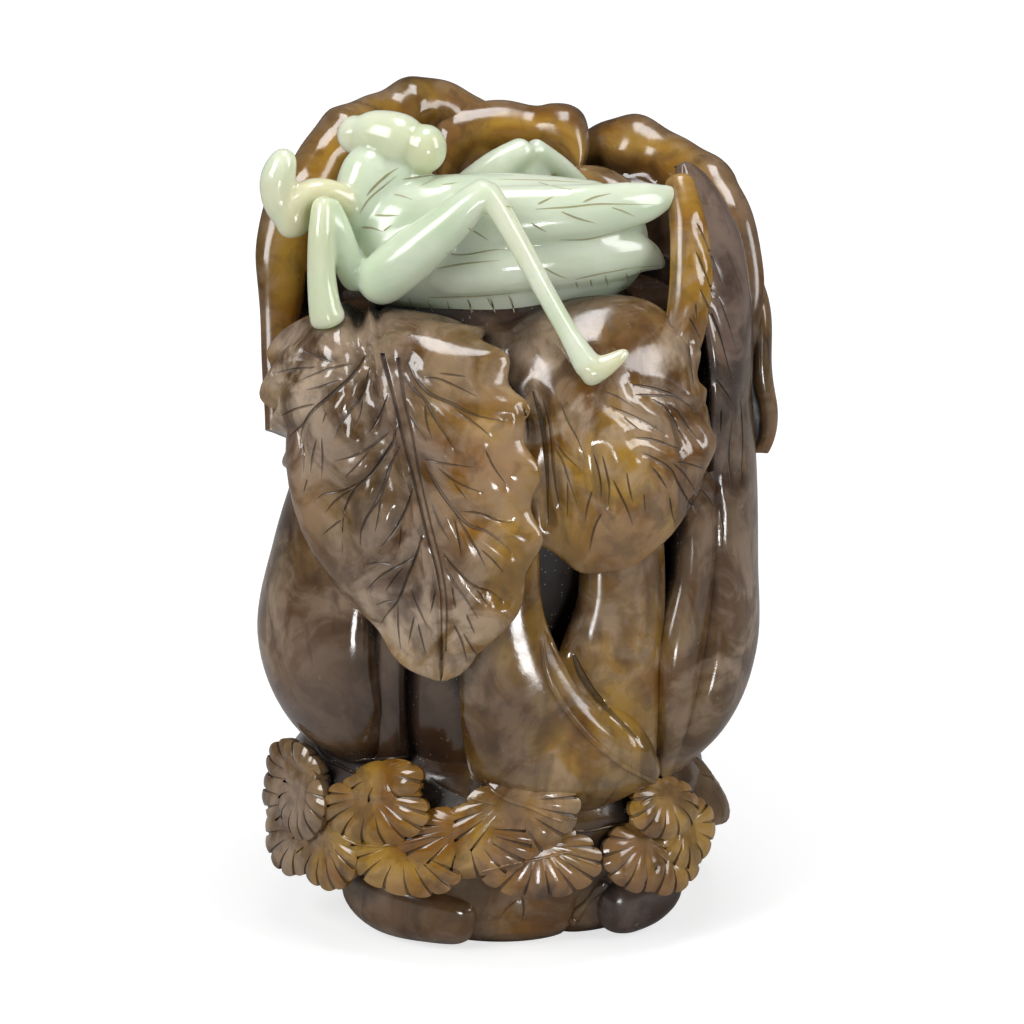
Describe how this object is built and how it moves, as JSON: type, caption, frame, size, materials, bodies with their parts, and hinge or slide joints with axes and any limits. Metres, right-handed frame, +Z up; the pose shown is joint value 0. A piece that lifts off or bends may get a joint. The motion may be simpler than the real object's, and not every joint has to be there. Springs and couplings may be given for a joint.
{
  "type": "jade cabbage carving",
  "caption": "Jade ornament carved as a Chinese cabbage on a bed of lobed leaves, with a praying mantis lying across its open crown. It stands on its flat underside.",
  "frame": {"origin": "centre of the flat underside, on the ground", "axes": "+Z up, the carved front with the two hanging leaves faces -Y, +X to the viewer's right"},
  "size_m": [0.1045, 0.0935, 0.166],
  "materials": {
    "jade": "Polished nephrite in two colours: clouded grey-brown with honey-coloured thin edges for the cabbage, pale celadon for the mantis. It is translucent in thin places, with dark dust in the deep cuts."
  },
  "bodies": {
    "root": {"cabbage_and_mantis_carving": "jade"}
  },
  "joints": []
}
